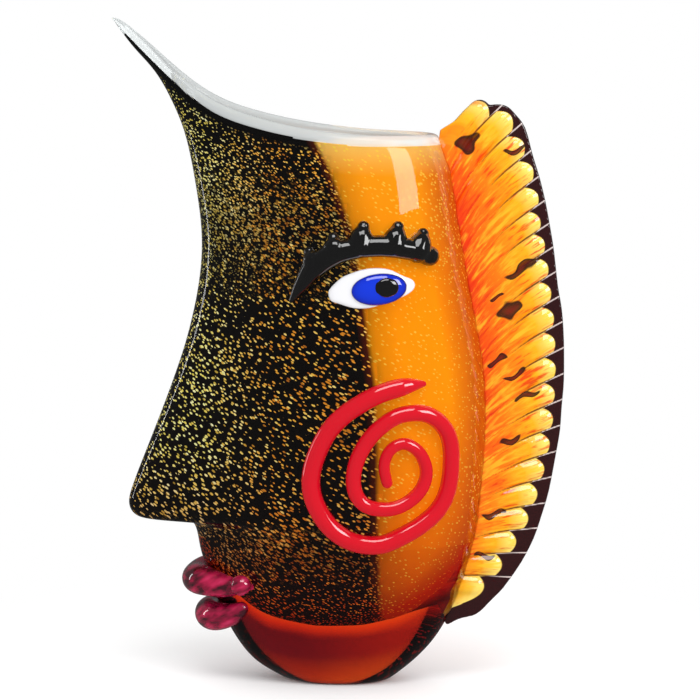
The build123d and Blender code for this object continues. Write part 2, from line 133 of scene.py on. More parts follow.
# the blown body: each station is front x, front z, back x, back z, half width, widest x, flank x and
# half width at the flank, all in mm
blownBody = {
    "outer": [
        (-153.5, 450, 58, 410, 45, 14, -136, 5.5), (-150, 445, 60.5, 396, 45.8, 14, -130, 6.2),
        (-138.6, 430, 63.5, 384, 47, 14, -118, 8.5), (-124, 414, 66, 375, 48, 13, -106, 12.5),
        (-113, 395.5, 69, 367, 49.8, 12, -94, 18.8), (-103, 371, 74, 357, 53.5, 12, -87, 21.3),
        (-96, 336, 79, 338, 58, 12, -81.5, 23.2), (-92.3, 303, 83.5, 310, 61.8, 11.5, -78, 24),
        (-94.5, 272, 88.5, 281, 63.8, 11, -79.5, 24.5), (-102.5, 236, 95.5, 245, 65, 9.5, -86, 24.3),
        (-114, 202, 100.5, 215, 65, 8.5, -97, 23), (-128, 166, 101.8, 187, 64.8, 7.5, -111, 20.3),
        (-140, 136, 101.3, 165, 64.2, 6.8, -124, 17.7), (-144.5, 120, 100.2, 149, 63.5, 6, -129, 16),
        (-139.5, 111, 99.3, 139, 62.8, 5.5, -126, 16), (-126, 109, 98.5, 129, 61.5, 4.8, -116, 18.5),
        (-103, 109.2, 96.8, 113, 59, 3.5, -95.5, 22), (-97.3, 103, 95, 103, 57, 2.8, -87, 23.6),
        (-94.5, 88, 91.3, 88, 53.2, 1.5, -81, 24), (-88.5, 70, 86, 70, 48.5, 1, -74, 24),
        (-81.5, 50, 78, 50, 42.5, 0, -67, 23.5), (-71, 29, 66.5, 30, 36, 0, -58, 21),
        (-57, 12, 52, 14, 30, 0, -46.5, 17.5), (-36, 0, 34.5, 0, 22, 0, -29, 12.5)],
    "bubble": [
        (-157, 456, 54, 408, 41.5, 14, -140, 3.2), (-145.6, 442.5, 56.8, 394, 42.5, 14, -129, 4),
        (-133.6, 427.5, 60, 382, 43.5, 14, -116, 6), (-120.5, 411.5, 62.5, 373, 44.5, 13, -103, 9.7),
        (-103.5, 380.5, 68, 361, 48.5, 12, -87.5, 16.8), (-93.3, 342, 74.5, 343, 54, 12, -79.5, 19.5),
        (-89, 305, 79, 312, 58, 12, -76, 20.5), (-94, 260, 87, 268, 60.5, 10, -79, 21),
        (-106.7, 211, 96, 222, 61.5, 9, -90, 20), (-124, 167, 98.2, 188, 61.5, 8, -110, 16),
        (-134.5, 133, 98, 160, 60.5, 6.5, -120, 13.5), (-133, 124, 96, 147.5, 60, 6, -119, 13.5),
        (-125, 121, 95, 138, 59, 5.5, -112.5, 15.5), (-103, 119.8, 92.5, 124, 57, 4, -94, 18.5),
        (-93.5, 113.5, 90.5, 114, 55.2, 3.5, -83, 20), (-89.5, 99, 86.5, 99, 51.5, 2.5, -77, 20.7),
        (-80, 82, 79, 84, 46.5, 1, -68, 20.5), (-63, 64, 63, 67, 38, 0, -52.5, 18),
        (-42, 51, 43, 54, 26.5, 0, -34.5, 13), (-14, 45, 16, 46, 9, 1, -11, 4.5)],
    "spoutInside": [
        (-128, 446, 50, 406, 35, 14, -112, 5), (-120, 432, 53, 392, 36.5, 14, -104, 6.5),
        (-114, 418, 56, 379, 38, 14, -98, 8.5), (-106.5, 402.5, 58.3, 370, 39.5, 13, -91, 11.5),
        (-98.5, 379.5, 63.8, 359, 44, 12, -82, 13.5)],
    "gather": [
        (-92, 100, 89.5, 100, 54, 2.5, -81, 22), (-85.5, 85, 84, 86, 50.5, 2, -73.5, 22),
        (-77, 62, 74.5, 64, 43.5, 1, -64, 20), (-65, 36, 62, 38, 35.5, 1, -53, 17.5),
        (-50, 15, 47, 16, 28, 0, -41, 14), (-31, 4, 29.5, 4, 18, 0, -25, 10)],
    "mouth": [
        (-210, 506), (-180, 479), (-150, 452.5), (-129, 432), (-111, 415.5), (-95, 402.5), (-77, 392.5),
        (-55, 385), (-27, 378.5), (5, 374), (35, 372.3), (90, 371.7)],
    # where the leaf runs at the nose: station, front x, front z
    "noseLeaf": [(10, -139.5, 126), (11, -137, 116), (12, -125, 112.4), (13, -104, 112.6), (14, -95, 108)],
    "lipHeight": 6.5,
    "wall": 4.3,
    "faceSteps": 22,
    "headSteps": 12,
    "stationSteps": 3,
    "mouthRows": 16,
    "mouthLineSteps": 8,
    "firstWholeRow": 6,  # the first station that lies wholly below the mouth
    "halvings": 22,
    "noseCrowding": 1.25,
    "noseHandle": 0.85,
    "leadShare": 0.35,
    "leadOut": 0.25,
    # the wall thins to this share at the spout, and is full where the flank is this wide
    "spoutWallShare": 0.3,
    "fullWallFlank": 18,
    "leastFlankShare": 0.35,
}
body = {key: np.array(value, float) for key, value in blownBody.items() if isinstance(value, list)}
body["leaf"] = body["bubble"].copy()
for station, frontX, frontZ in blownBody["noseLeaf"]:
    body["leaf"][station, :2] = frontX, frontZ
mouthRun = densified(body["mouth"], blownBody["mouthLineSteps"])


# every station moved inward by a wall, thinner where the spout is narrow
def movedInward(rows, wall):
    moved = rows.copy()
    for number, row in enumerate(rows):
        above, below = rows[max(number - 1, 0)], rows[min(number + 1, len(rows) - 1)]
        frontRun, backRun = below[:2] - above[:2], below[2:4] - above[2:4]
        frontRun, backRun = frontRun / np.linalg.norm(frontRun), backRun / np.linalg.norm(backRun)
        drop = np.linalg.norm((above[:2] + above[2:4] - below[:2] - below[2:4]) / 2)
        side = drop / math.hypot(drop, above[4] - below[4])
        thin = wall * min(1.0, blownBody["spoutWallShare"] + row[7] / blownBody["fullWallFlank"])
        moved[number] = (row[0] - frontRun[1] * thin, row[1] + frontRun[0] * thin,
                         row[2] + backRun[1] * wall, row[3] - backRun[0] * wall, row[4] - wall * side,
                         row[5], row[6] - frontRun[1] * thin / 2,
                         max(row[7] - thin * side, row[7] * blownBody["leastFlankShare"]))
    return moved


# point at a share of the curve that control points pull
def curveAt(controls, share):
    points = [np.array(point, float) for point in controls]
    while len(points) > 1:
        points = [first + (second - first) * share for first, second in zip(points, points[1:])]
    return points[0]


# shares down one cheek: 0 to 1 is nose to widest place, 1 to 2 is from there to the back of the head
def halfShares():
    steps = blownBody["faceSteps"]
    face = [(step / steps) ** blownBody["noseCrowding"] for step in range(steps)]
    return face + [1 + step / blownBody["headSteps"] for step in range(blownBody["headSteps"] + 1)]


# point of a blown skin in mm; side is -1 on the left cheek and 1 on the right
def skinPoint(rows, place, share, side):
    frontX, frontZ, backX, backZ, halfWidth, widestX, flankX, flankY = rowAt(rows, place)
    length = math.hypot(backX - frontX, backZ - frontZ)
    alongX, alongZ = (backX - frontX) / length, (backZ - frontZ) / length
    flank = np.array(((flankX - frontX) / alongX, flankY))
    widest = np.array(((widestX - frontX) / alongX, halfWidth))
    reach = np.array(((length - widest[0]) * circleHandle, 0))
    if share <= 1:
        lead = flank + (widest - flank) * blownBody["leadShare"] + (0, flankY * blownBody["leadOut"])
        nose = (0, flankY * blownBody["noseHandle"])
        spot = curveAt([(0, 0), nose, flank, lead, widest - reach, widest], share)
    else:
        spot = curveAt([widest, widest + reach, (length, halfWidth * circleHandle), (length, 0)], share - 1)
    return np.array((frontX + alongX * spot[0], side * spot[1], frontZ + alongZ * spot[0]))


def mouthHeight(x):
    return np.interp(x, mouthRun[:, 0], mouthRun[:, 1])


# rings from the mouth line, lowered by a drop, down to the last station
def openSkin(rows, drop):
    firstWholeRow = blownBody["firstWholeRow"]
    halves = halfShares()
    ring = [(share, -1) for share in halves] + [(share, 1) for share in halves[-2:0:-1]]
    columns = []
    for share, side in ring:
        low, high = float(firstWholeRow), 0.0
        for _ in range(blownBody["halvings"]):
            middle = (low + high) / 2
            spot = skinPoint(rows, middle, share, side)
            if spot[2] > mouthHeight(spot[0]) - drop:
                high = middle
            else:
                low = middle
        steps = blownBody["mouthRows"]
        places = [low + (firstWholeRow - low) * step / steps for step in range(steps)]
        stations = (len(rows) - 1 - firstWholeRow) * blownBody["stationSteps"]
        places += [firstWholeRow + step / blownBody["stationSteps"] for step in range(stations + 1)]
        columns.append([skinPoint(rows, place, share, side) for place in places])
    return np.array(columns).transpose(1, 0, 2)


# adds rings that draw the last one in to a point
def closedEnd(rings, steps=3):
    centre = rings[-1].mean(axis=0)
    inner = [centre + (rings[-1] - centre) * (1 - step / (steps + 1)) for step in range(1, steps + 1)]
    return np.concatenate([rings, np.array(inner)])


print("blown skins")
lip = {"drop": 2.0, "steps": 8, "riseShare": 0.45, "mostRise": 2.6, "roundness": 0.6}
outerSkin = openSkin(body["outer"], lip["drop"])
innerRows = movedInward(body["bubble"], blownBody["wall"])
innerRows = np.concatenate([body["spoutInside"], innerRows[len(body["spoutInside"]):]])
innerSkin = openSkin(innerRows, lip["drop"])
# the lip rolls over from the outer skin to the inner one
lipRings = []
for step in range(1, lip["steps"]):
    share = step / lip["steps"]
    ring = outerSkin[0] * (1 - share) + innerSkin[0] * share
    wall = np.linalg.norm(outerSkin[0] - innerSkin[0], axis=1)
    rise = math.sin(math.pi * share) ** lip["roundness"]
    ring[:, 2] += np.minimum(wall * lip["riseShare"], lip["mostRise"]) * rise
    lipRings.append(ring)
glassRings = np.concatenate([closedEnd(outerSkin)[::-1], np.array(lipRings), closedEnd(innerSkin)])
clearGlass = gridPiece("clearGlassBody", glassRings * mm)
smoothed(clearGlass)
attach(clearGlass, "root")
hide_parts("clear_casing", "lip_wrap")

outerMesh = gridPiece("outerGuide", closedEnd(outerSkin) * mm)
guide = BVHTree.FromPolygons([v.co.copy() for v in outerMesh.data.vertices],
                             [tuple(p.vertices) for p in outerMesh.data.polygons])
bpy.data.objects.remove(outerMesh)


besideVase = 200  # mm, well clear of the left cheek


# where the left cheek lies at x and z in mm, and its outward direction
def onCheek(x, z):
    spot, normal, _, _ = guide.ray_cast(Vector((x, -besideVase, z)) * mm, Vector((0, 1, 0)))
    if normal.y > 0:
        normal = -normal
    return np.array(spot) / mm, np.array(normal)


print("leaf wall")
leafEdge = {
    "line": [(-24, 405), (-18, 385), (1, 351), (17.4, 309), (24.6, 257), (31, 211.5), (32.6, 168),
             (32.6, 90), (30, 27)],
    "thickness": 1.2,
}
edgeLine = np.array(leafEdge["line"][::-1], float)


# where black gives way to amber at a height
def edgeX(z):
    return np.interp(z, edgeLine[:, 1], edgeLine[:, 0])


leafRings = closedEnd(openSkin(body["leaf"], blownBody["lipHeight"]))


# the faces of the coloured wall on one side of the edge line, given a thickness
def leafPiece(name, isFront, node):
    piece = gridPiece(name, leafRings * mm, filled=False)
    smoothed(piece)
    bpy.ops.object.mode_set(mode="EDIT")
    bpy.ops.mesh.select_mode(type="FACE")
    bpy.ops.mesh.select_all(action="DESELECT")
    bpy.ops.object.mode_set(mode="OBJECT")
    for polygon in piece.data.polygons:
        centre = polygon.center / mm
        polygon.select = (centre.x < edgeX(centre.z)) != isFront
    bpy.ops.object.mode_set(mode="EDIT")
    bpy.ops.mesh.delete(type="FACE")
    bpy.ops.object.mode_set(mode="OBJECT")
    applyModifier(piece, "SOLIDIFY", thickness=leafEdge["thickness"] * mm, offset=-1)
    bpy.ops.object.shade_smooth()
    spots = pointsOf(piece)
    storeField(piece, "beyondEdge", spots[:, 0] - edgeX(spots[:, 2]))
    storeField(piece, "belowRim", mouthHeight(spots[:, 0]) - spots[:, 2])
    backLine = body["bubble"][::-1, 2:4]
    storeField(piece, "beforeBack", np.interp(spots[:, 2], backLine[:, 1], backLine[:, 0]) - spots[:, 0])
    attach(piece, "root")
    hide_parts(node)
    return piece


leafFront = leafPiece("blackLeaf", True, "leaf_front")
leafBack = leafPiece("amberLeaf", False, "leaf_back")

print("red-amber gather")
gather = {"stationSteps": 4, "undersideStation": 8, "sideFall": 0.12}
gatherRings = []
for step in range((len(body["gather"]) - 1) * gather["stationSteps"] + 1):
    place = step / gather["stationSteps"]
    ring = [skinPoint(body["gather"], place, share, -1) for share in halfShares()]
    ring += [skinPoint(body["gather"], place, share, 1) for share in halfShares()[-2:0:-1]]
    gatherRings.append(ring)
gatherRings = closedEnd(np.array(gatherRings))
gatherRings = closedEnd(gatherRings[::-1])
amberGather = gridPiece("amberGather", gatherRings * mm)
smoothed(amberGather)
# how far each place lies above the underside of the bubble, seen from the side
underside = body["bubble"][gather["undersideStation"]:]
underside = np.concatenate([underside[:, :2], underside[::-1, 2:4]])
spots = pointsOf(amberGather)
undersideHeight = np.interp(spots[:, 0], underside[:, 0], underside[:, 1])
storeField(amberGather, "aboveUnderside",
           spots[:, 2] - gather["sideFall"] * np.abs(spots[:, 1]) - undersideHeight)
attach(amberGather, "root")
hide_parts("amber_base")


rodTipShare = 0.06  # how far a dome's last ring is drawn in, as a share of the radius


# a smooth rod through stops in mm, with a dome at each end
def rodPiece(name, stops, radii, sideAxis=(0, 1, 0), columns=16, domeSteps=4, levels=1):
    stops = np.array(stops, float)
    radii = np.array(radii, float)
    rings = []
    for number, (stop, radius) in enumerate(zip(stops, radii)):
        along = stops[min(number + 1, len(stops) - 1)] - stops[max(number - 1, 0)]
        along = along / np.linalg.norm(along)
        side = np.array(sideAxis, float)
        side = side - along * side.dot(along)
        side /= np.linalg.norm(side)
        across = np.cross(along, side)
        turns = [2 * math.pi * turn / columns for turn in range(columns)]
        circle = np.array([side * math.cos(turn) + across * math.sin(turn) for turn in turns])
        if number in (0, len(stops) - 1):
            outward = -along if number == 0 else along
            dome = [stop + outward * radius * math.sin(math.pi / 2 * step / domeSteps) +
                    circle * radius * max(math.cos(math.pi / 2 * step / domeSteps), rodTipShare)
                    for step in range(domeSteps + 1)]
            rings += dome[::-1] if number == 0 else dome
        else:
            rings.append(stop + circle * radius)
    piece = gridPiece(name, np.array(rings) * mm)
    smoothed(piece, levels)
    return piece


# the same piece on the right cheek
def mirrored(piece, name):
    pick(piece)
    bpy.ops.object.duplicate()
    twin = bpy.context.object
    twin.name = name
    bpy.ops.transform.mirror(constraint_axis=(False, True, False))
    bpy.ops.object.transform_apply(location=True, rotation=True, scale=True)
    bpy.ops.object.mode_set(mode="EDIT")
    bpy.ops.mesh.select_all(action="SELECT")
    bpy.ops.mesh.normals_make_consistent(inside=False)
    bpy.ops.object.mode_set(mode="OBJECT")
    return twin


def joined(pieces, name):
    deselectAll()
    for piece in pieces:
        piece.select_set(True)
    bpy.context.view_layer.objects.active = pieces[0]
    bpy.ops.object.join()
    pieces[0].name = name
    return pieces[0]


# melts joined parts into one skin, with a voxel size in mm and some rounds of smoothing
def remeshed(piece, size, rounds):
    applyModifier(piece, "REMESH", mode="VOXEL", voxel_size=size * mm)
    applyModifier(piece, "SMOOTH", factor=0.5, iterations=rounds)
    bpy.ops.object.shade_smooth()


# sets what a piece rides on and stands for
def dress(piece, node):
    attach(piece, "root")
    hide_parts(node)


print("eyebrow")
eyebrow = {
    "arch": [(-24, 266, 2), (-17, 276, 5.4), (-8, 288, 8), (5, 297, 7.8), (20, 301, 7.2), (36, 302, 7.4),
             (53, 299, 7.2), (64, 294.6, 6.8)],
    "teeth": [(-8, 290, -11.5, 297.5), (5, 299, 3.8, 307), (21, 303, 23, 314.5), (42, 303, 44.5, 314),
              (57, 299, 59.8, 309)],
    "toothRadius": 9.0,
    "toothTipRadius": 4.2,
    "lift": 0.25,
    "toothStandOff": 1.6,
    "toothMiddle": 0.55,
    "toothMiddleOut": 0.3,
    "toothMiddleRadius": 1.75,
    "steps": 5,
    "voxel": 0.6,
    "smoothing": 3,
}
browStops = []
for x, z, radius in densified(eyebrow["arch"], eyebrow["steps"]):
    spot, outward = onCheek(x, z)
    browStops.append((*(spot + outward * radius * eyebrow["lift"]), radius))
browStops = np.array(browStops)
browParts = [rodPiece("browArch", browStops[:, :3], browStops[:, 3], levels=0)]
for rootX, rootZ, tipX, tipZ in eyebrow["teeth"]:
    root, outward = onCheek(rootX, rootZ)
    root = root + outward * eyebrow["toothStandOff"]
    tip, tipOutward = onCheek(tipX, tipZ)
    tip = tip + tipOutward * eyebrow["toothStandOff"]
    middle = root + (tip - root) * eyebrow["toothMiddle"] + outward * eyebrow["toothMiddleOut"]
    run = densified([(*root, eyebrow["toothRadius"]),
                     (*middle, eyebrow["toothTipRadius"] * eyebrow["toothMiddleRadius"]),
                     (*tip, eyebrow["toothTipRadius"])], eyebrow["steps"])
    browParts.append(rodPiece("browTooth", run[:, :3], run[:, 3], levels=0))
browLeft = joined(browParts, "browLeft")
remeshed(browLeft, eyebrow["voxel"], eyebrow["smoothing"])
browRight = mirrored(browLeft, "browRight")
dress(browLeft, "left_eyebrow")
dress(browRight, "right_eyebrow")

print("eyes")
# the iris and pupil are centre x, centre z, half length, half height and tilt; a dome is shares and lifts
eye = {
    "ovalSteps": 24,
    "outlineSteps": 3,
    "white": [(-0.2, 272.1), (8, 281), (15.2, 284.7), (23.7, 287.4), (32.2, 288.1), (40.1, 286.9),
              (47.9, 282.8), (54, 279.9), (55.8, 276), (53.6, 272), (46.6, 268), (36.8, 264.6),
              (27, 261.9), (17.2, 261.8), (8.6, 264.3), (1.4, 266.8)],
    "iris": (32.9, 274.1, 17.4, 10.4, 6),
    "pupil": (37.1, 275.3, 7.0, 6.4, 0),
    "whiteDome": [(1.0, -0.6), (1.0, 1.2), (0.975, 2.2), (0.92, 2.8), (0.8, 3.2), (0.5, 3.5), (0.2, 3.6)],
    "irisDome": [(1.0, 2.2), (1.0, 3.6), (0.95, 4.6), (0.82, 5.8), (0.6, 6.8), (0.35, 7.3), (0.12, 7.5)],
    "pupilDome": [(1.0, 5.0), (1.0, 6.8), (0.93, 7.8), (0.75, 8.4), (0.5, 8.8), (0.2, 8.95)],
}


# stops round an oval, with its long axis tilted by some degrees
def ovalOutline(centreX, centreZ, halfLength, halfHeight, tilt):
    turns = [2 * math.pi * step / eye["ovalSteps"] for step in range(eye["ovalSteps"])]
    lean = math.radians(tilt)
    stops = []
    for turn in turns:
        along, across = math.cos(turn) * halfLength, math.sin(turn) * halfHeight
        stops.append((centreX + along * math.cos(lean) - across * math.sin(lean),
                      centreZ + along * math.sin(lean) + across * math.cos(lean)))
    return stops


# a domed drop on the cheek: rings of the outline, each drawn in by a share and lifted off the glass
def domedDrop(name, outline, dome):
    # two stops before and three after close the curve, and are cut off again
    closed = outline[-2:] + outline + outline[:3]
    ring = densified(closed, eye["outlineSteps"])[2 * eye["outlineSteps"]:-3 * eye["outlineSteps"]]
    centre = ring.mean(axis=0)
    rings = []
    for share, lift in dome:
        row = []
        for x, z in centre + (ring - centre) * share:
            spot, outward = onCheek(x, z)
            row.append(spot + outward * lift)
        rings.append(row)
    piece = gridPiece(name, np.array(rings) * mm)
    smoothed(piece)
    return piece


eyePieces = {}
for key, slot, outline in (("white", "eye_white", eye["white"]),
                           ("iris", "iris_blue", ovalOutline(*eye["iris"])),
                           ("pupil", "pupil_black", ovalOutline(*eye["pupil"]))):
    left = domedDrop(key + "Left", outline, eye[key + "Dome"])
    right = mirrored(left, key + "Right")
    eyePieces[key] = [left, right]
    for piece, side in ((left, "left_"), (right, "right_")):
        dress(piece, side + ("eye_white" if key == "white" else key))

print("cheek spiral")
# stops are x, z and radius
spiral = {
    "run": [(61.5, 211.4, 2.2), (54, 211, 4.9), (46.3, 209.6, 6.4), (34.6, 206.1, 6.5), (22.8, 200, 6.5),
            (10.3, 191.2, 6.5), (-0.2, 179.1, 6.5), (-7.4, 163.8, 6.5), (-10.8, 148.5, 6.5),
            (-8.8, 134.5, 6.5), (-1.6, 120.7, 6.5), (9, 110.2, 6.5), (21.5, 105.1, 6.5),
            (34.7, 104.7, 6.5), (46.6, 109.7, 6.4), (59.7, 117.2, 6.3), (70.8, 127.4, 6.2),
            (76.6, 140.8, 6.1), (78.5, 156.7, 6), (77.8, 172.5, 6), (72.5, 184.3, 5.9),
            (63.4, 191.4, 5.9), (52.9, 192.5, 5.8), (42.5, 189.7, 5.7), (31.3, 181, 5.6),
            (22.8, 169.6, 5.5), (17.6, 155.6, 5.4), (17.6, 141.7, 5.3), (24.2, 131.8, 5.2),
            (37.3, 128.8, 5.1), (49.1, 131.6, 4.9), (59.6, 140.5, 4.8), (63.5, 152.5, 4.6),
            (60.2, 164.3, 4.5), (53, 171.4, 4.3), (45.8, 172, 4.2), (39.2, 166.6, 4.1), (36.6, 157.3, 4),
            (38.6, 146.7, 3.9)],
    "sink": 0.7,
    "steps": 3,
}
spiralStops = []
for x, z, radius in densified(spiral["run"], spiral["steps"]):
    spot, outward = onCheek(x, z)
    spiralStops.append((*(spot + outward * radius * (1 - spiral["sink"])), radius))
spiralStops = np.array(spiralStops)
spiralLeft = rodPiece("spiralLeft", spiralStops[:, :3], spiralStops[:, 3])
spiralRight = mirrored(spiralLeft, "spiralRight")
dress(spiralLeft, "left_cheek_spiral")
dress(spiralRight, "right_cheek_spiral")

print("lips")
# stops are angle round the chin, height, radius and how far it stands off
lips = {
    "axisX": -40,
    "outside": 300,
    "steps": 4,
    "upper": [(67, 69.8, 2.6, 0.3), (64, 70.5, 5.8, 0.5), (59, 70.8, 7.4, 0.6), (53, 69, 5.6, 0.4),
              (40, 68.4, 8, 0.5), (20, 70, 10.6, 0.8), (0, 68.5, 10.2, 0.95)],
    "lower": [(52, 53.1, 4.9, 0.3), (38, 47.7, 8.2, 0.5), (20, 44.6, 10.3, 0.75), (0, 44.1, 10.8, 0.9)],
}


def chinPoint(angle, z, standOff):
    turned = Vector((-math.cos(math.radians(angle)), -math.sin(math.radians(angle)), 0))
    start = (Vector((lips["axisX"], 0, z)) + turned * lips["outside"]) * mm
    spot, _, _, _ = guide.ray_cast(start, -turned)
    return np.array(spot + turned * standOff * mm) / mm


def lipPiece(name, rows, node):
    half = [(*chinPoint(angle, z, radius * stand), radius) for angle, z, radius, stand in rows]
    run = densified(half + [(x, -y, z, radius) for x, y, z, radius in half[-2::-1]], lips["steps"])
    piece = rodPiece(name, run[:, :3], run[:, 3], (0, 0, 1))
    dress(piece, node)
    return piece


upperLip = lipPiece("upperLip", lips["upper"], "upper_lip")
lowerLip = lipPiece("lowerLip", lips["lower"], "lower_lip")

print("hair comb")
# edge and inside are x and z; a rib tip is x, z and the angle of its rib
comb = {
    "edge": [(68.3, 375), (78, 381), (88, 387.6), (101.5, 391.7), (111.5, 391.4), (118, 386),
             (125, 376.5), (130, 359), (135, 343), (139, 327), (142, 311.5), (144.8, 295), (147.7, 271),
             (150.5, 255), (152, 235), (152.3, 208), (151, 190), (150, 174), (147.5, 158), (143, 133),
             (138.4, 116.5), (133, 100), (124.5, 83), (113, 66), (105.7, 58), (97, 49), (92, 46),
             (83, 43.5), (74.5, 39)],
    "inside": [(60, 62), (80, 90), (88, 130), (92, 190), (86, 250), (74, 310), (66, 350)],
    "webThickness": 8,
    "ribTips": [(99, 388, 50), (115, 381, 45), (123, 364, 42), (129, 347.5, 40), (132.5, 330, 38),
                (134, 314, 37), (137, 299, 36), (139.5, 283, 35), (141.5, 267, 34), (143.5, 250, 33),
                (144.5, 233, 31), (145, 216, 29), (144.5, 199, 27), (143.5, 182, 25), (141.5, 165, 22),
                (138, 148, 19), (133.5, 131, 15), (127.5, 114, 11), (119.5, 98, 7), (110, 82, 3),
                (98, 67, -2)],
    "ribReach": 64,
    "ribRadius": 8.6,
    "ribBow": 14,
    "ribSteps": 8,
    "tipSetBack": 4.5,
    "ribTaper": (0.86, 0.34),
    "edgeSteps": 3,
    "voxel": 1.0,
    "smoothing": 4,
    "stepsPastTip": 3,
    "stepsPastRoot": 4,
    "endSag": 0.08,
    "farFromShadePatch": 4.0,
    "shadePatchRaggedness": 1.6,
    "shadePatchWaves": (0.55, 0.42),
    "shadePatchPhases": (1.0, 2.2),
    # painted shade: dark patches where the glass would show dark surroundings: x, z, half length, half
    # width, slope in degrees
    "shadePatches": [(87, 367, 8, 6, 40), (118, 362, 9, 1.8, 14), (124.5, 284, 14, 3, 34),
               (116, 256, 9, 5, 40), (108, 264, 5, 1.4, 14), (108, 221.7, 6, 2.4, 32),
               (119.7, 211.8, 9, 1.9, 25), (128, 198.3, 8, 2.2, 25), (116.7, 167.7, 9, 2.2, 20),
               (107, 117, 8, 2.2, 10), (99, 88, 7, 1.8, 0)],
}
edge = densified(comb["edge"], comb["edgeSteps"])
outline = np.concatenate([edge, np.array(comb["inside"], float)])
deselectAll()
bpy.ops.mesh.primitive_circle_add(vertices=len(outline), radius=1, fill_type="NGON")
web = bpy.context.object
half = comb["webThickness"] / 2
for vertex, (x, z) in zip(web.data.vertices, outline):
    vertex.co = (x * mm, -half * mm, z * mm)
bpy.ops.object.mode_set(mode="EDIT")
bpy.ops.mesh.select_all(action="SELECT")
bpy.ops.mesh.extrude_region_move(TRANSFORM_OT_translate={"value": (0, 2 * half * mm, 0)})
bpy.ops.mesh.select_all(action="SELECT")
bpy.ops.mesh.normals_make_consistent(inside=False)
bpy.ops.object.mode_set(mode="OBJECT")
combParts = [web]
ribLines = []
for tipX, tipZ, angle in comb["ribTips"]:
    stops = []
    for step in range(comb["ribSteps"] + 1):
        share = step / comb["ribSteps"]
        bow = math.radians(angle + comb["ribBow"] * share - comb["ribBow"] / 3)
        reach = comb["ribReach"] * share
        radius = comb["ribRadius"] * (comb["ribTaper"][0] + comb["ribTaper"][1] * share)
        stops.append((tipX - comb["tipSetBack"] - math.cos(bow) * reach, 0,
                      tipZ - math.sin(bow) * reach, radius))
    stops = np.array(stops)
    ribLines.append(stops)
    combParts.append(rodPiece("combRib", stops[:, :3], stops[:, 3], levels=0))
hairComb = joined(combParts, "hairComb")
remeshed(hairComb, comb["voxel"], comb["smoothing"])
# distance to the nearest rib's run, to the groove beside it, and how far in from the rib's tip
spots = pointsOf(hairComb)[:, (0, 2)]
distances, alongs = [], []
for stops in ribLines:
    # the run is carried on straight past both ends of the rib
    line = stops[:, (0, 2)]
    line = np.concatenate([[line[0] + (line[0] - line[1]) * comb["stepsPastTip"]], line,
                           [line[-1] + (line[-1] - line[-2]) * comb["stepsPastRoot"]]])
    best = np.full(len(spots), np.inf)
    bestAlong = np.zeros(len(spots))
    run = -np.linalg.norm(line[1] - line[0])
    for start, end in zip(line[:-1], line[1:]):
        length = np.linalg.norm(end - start)
        toward = (end - start) / length
        share = np.clip((spots - start) @ toward, 0, length)
        gap = np.linalg.norm(spots - start - share[:, None] * toward, axis=1)
        closer = gap < best
        best = np.where(closer, gap, best)
        bestAlong = np.where(closer, run + share, bestAlong)
        run += length
    distances.append(best)
    alongs.append(bestAlong)
distances, alongs = np.array(distances), np.array(alongs)
order = np.sort(distances, axis=0)
nearest = distances.argmin(axis=0)
storeField(hairComb, "grooveGap", (order[1] - order[0]) / 2)
along = np.take_along_axis(alongs, nearest[None], axis=0)[0]
storeField(hairComb, "ribAlong", along - order[0] ** 2 * comb["endSag"])
storeField(hairComb, "ribNumber", nearest)
# how near each place is to a patch of painted shade, 1 at a patch's ragged outline
lens = np.full(len(spots), comb["farFromShadePatch"])
spots = spots + comb["shadePatchRaggedness"] * np.sin(spots[:, ::-1] * comb["shadePatchWaves"] + comb["shadePatchPhases"])
for x, z, halfLength, halfWidth, slope in comb["shadePatches"]:
    lean = math.radians(slope)
    away = spots - (x, z)
    lengthwise = away @ (math.cos(lean), math.sin(lean)) / halfLength
    crosswise = away @ (-math.sin(lean), math.cos(lean)) / halfWidth
    lens = np.minimum(lens, lengthwise ** 2 + crosswise ** 2)
storeField(hairComb, "shadePatchDistance", lens)
dress(hairComb, "hair_comb")

print("materials")


# sRGB hex to linear colour
def linear(code):
    channels = [int(code[start:start + 2], 16) / 255 for start in (0, 2, 4)]
    return [channel / 12.92 if channel <= 0.04045 else ((channel + 0.055) / 1.055) ** 2.4
            for channel in channels] + [1.0]


# adds a node, sets its values by property or socket name or by number, links it and fills its colour stops
def node(tree, kind, links=None, stops=None, values=None, **settings):
    added = tree.nodes.new("ShaderNode" + kind)
    for key, value in settings.items():
        if hasattr(added, key):
            setattr(added, key, value)
        else:
            added.inputs[key.replace("_", " ")].default_value = value
    for number, value in (values or {}).items():
        added.inputs[number].default_value = value
    for key, source in (links or {}).items():
        tree.links.new(source.outputs[0] if hasattr(source, "outputs") else source, added.inputs[key])
    if stops:
        elements = added.color_ramp.elements
        while len(elements) < len(stops):
            elements.new(0.5)
        for element, (place, code) in zip(elements, stops):
            element.position = place
            element.color = linear(code) if isinstance(code, str) else (code, code, code, 1)
    return added


def newMaterial(name, pieces):
    material = bpy.data.materials.new(name)
    material.use_nodes = True
    material.node_tree.nodes.clear()
    for piece in pieces:
        piece.data.materials.clear()
        piece.data.materials.append(material)
    return material.node_tree


# a glass or glaze of one colour
def plainGlass(name, pieces, code, **settings):
    tree = newMaterial(name, pieces)
    shader = node(tree, "BsdfPrincipled", Base_Color=linear(code), **settings)
    node(tree, "OutputMaterial", {"Surface": shader})


# clear soda glass, the casing and lip
plainGlass("clearSodaGlass", [clearGlass], "f4f7f7", Roughness=0.0, IOR=1.5, Transmission_Weight=1.0)
